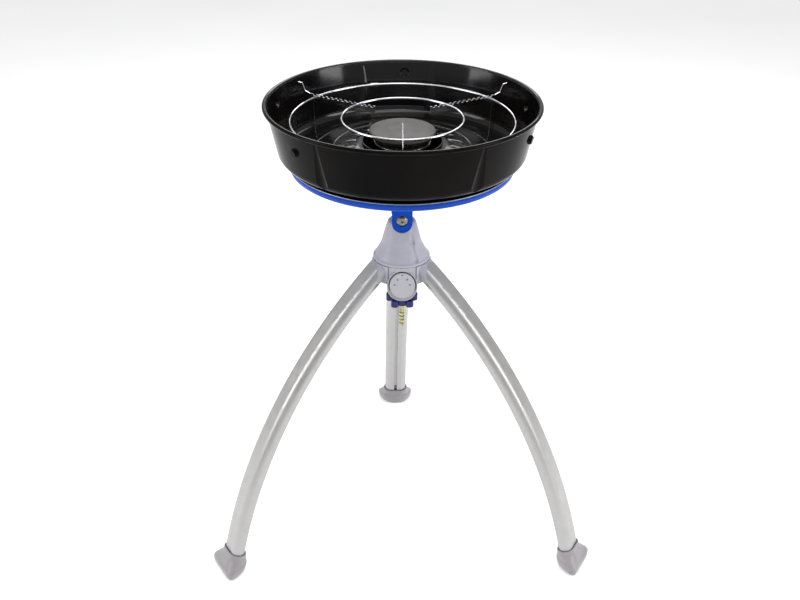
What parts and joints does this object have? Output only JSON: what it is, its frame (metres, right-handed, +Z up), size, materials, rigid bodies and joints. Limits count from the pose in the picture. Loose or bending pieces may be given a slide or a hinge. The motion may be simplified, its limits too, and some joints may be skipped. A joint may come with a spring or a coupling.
{
  "type": "portable gas burner stand",
  "caption": "Portable gas burner on a folding tripod: a deep round fire bowl with a lift-out wire pot stand over a central burner, on a tilting head.",
  "frame": {"origin": "floor point under the hub's vertical axis", "axes": "+Z up along the hub's axis, -Y towards the control dial and the tilt bolt's head, +Y along the fixed rear leg"},
  "size_m": [0.702, 0.617, 0.8366],
  "materials": {
    "hub_plastic": "fine moulded grain, semi matt",
    "leg_alloy": "satin anodised, drawn along the tube",
    "foot_plastic": "moulded, matt",
    "zinc_steel": "zinc plated",
    "brass": "machined",
    "dial_face": "smooth, semi matt",
    "dial_print": "printed marks",
    "nut_blue": "moulded, semi gloss",
    "blue_paint": "satin powder coat",
    "chrome": "bright plated",
    "black_enamel": "gloss vitreous enamel",
    "burner_iron": "matt, fine grain",
    "burner_steel": "pressed, slightly heat tinted"
  },
  "bodies": {
    "hub": {"hub_core": "hub_plastic", "hub_cap": "hub_plastic", "valve_housing": "hub_plastic", "valve_body": "brass", "gas_pipe": "brass", "hub_bolt": "zinc_steel", "hub_nut": "zinc_steel", "cap_screws": "zinc_steel", "rear_leg_tube": "leg_alloy", "rear_leg_foot": "foot_plastic", "rear_leg_screws": "zinc_steel", "hose_tail": "brass"},
    "left_leg": {"left_socket": "hub_plastic", "left_leg_tube": "leg_alloy", "left_leg_foot": "foot_plastic", "left_leg_screws": "zinc_steel"},
    "right_leg": {"right_socket": "hub_plastic", "right_leg_tube": "leg_alloy", "right_leg_foot": "foot_plastic", "right_leg_screws": "zinc_steel"},
    "dial": {"control_dial": "dial_face", "dial_marks": "dial_print", "dial_spindle": "brass"},
    "coupling": {"hose_nut": "nut_blue"},
    "head": {"clevis": "blue_paint", "clevis_screws": "zinc_steel", "tilt_bolt": "zinc_steel", "tilt_nut": "zinc_steel", "tilt_washers": "zinc_steel", "gas_dish": "blue_paint", "dish_trim": "chrome", "heat_ring": "black_enamel", "burner_stand": "zinc_steel", "burner_screws": "zinc_steel", "injector": "brass", "mixing_tube": "zinc_steel", "burner_head": "burner_steel", "burner_band": "chrome", "burner_cap": "burner_iron"},
    "bowl": {"fire_bowl": "black_enamel"},
    "pot_stand": {"outer_ring": "chrome", "inner_ring": "chrome", "ring_ferrule": "chrome", "support_plates": "chrome"}
  },
  "joints": [
    {"name": "left_leg_swing", "type": "hinge", "parent": "hub", "child": "left_leg", "pos_m": [0, 0, 0.5353], "axis": [0, 0, -1], "range_deg": [0, 65]},
    {"name": "right_leg_swing", "type": "hinge", "parent": "hub", "child": "right_leg", "pos_m": [0, 0, 0.5353], "axis": [0, 0, 1], "range_deg": [0, 65]},
    {"name": "head_tilt", "type": "hinge", "parent": "hub", "child": "head", "pos_m": [0, 0, 0.631], "axis": [0, 1, 0], "range_deg": [0, 65]},
    {"name": "bowl_lift", "type": "slide", "parent": "head", "child": "bowl", "axis": [0, 0, 1], "range_m": [0, 0.15]},
    {"name": "stand_lift", "type": "slide", "parent": "bowl", "child": "pot_stand", "axis": [0, 0, 1], "range_m": [0, 0.12]},
    {"name": "gas_control", "type": "hinge", "parent": "hub", "child": "dial", "pos_m": [0, -0.062, 0.525], "axis": [0, -0.8192, 0.5736], "range_deg": [0, 270]},
    {"name": "coupling_turn", "type": "hinge", "parent": "hub", "child": "coupling", "pos_m": [0, -0.046, 0.492], "axis": [0, 0, 1], "continuous": true}
  ]
}
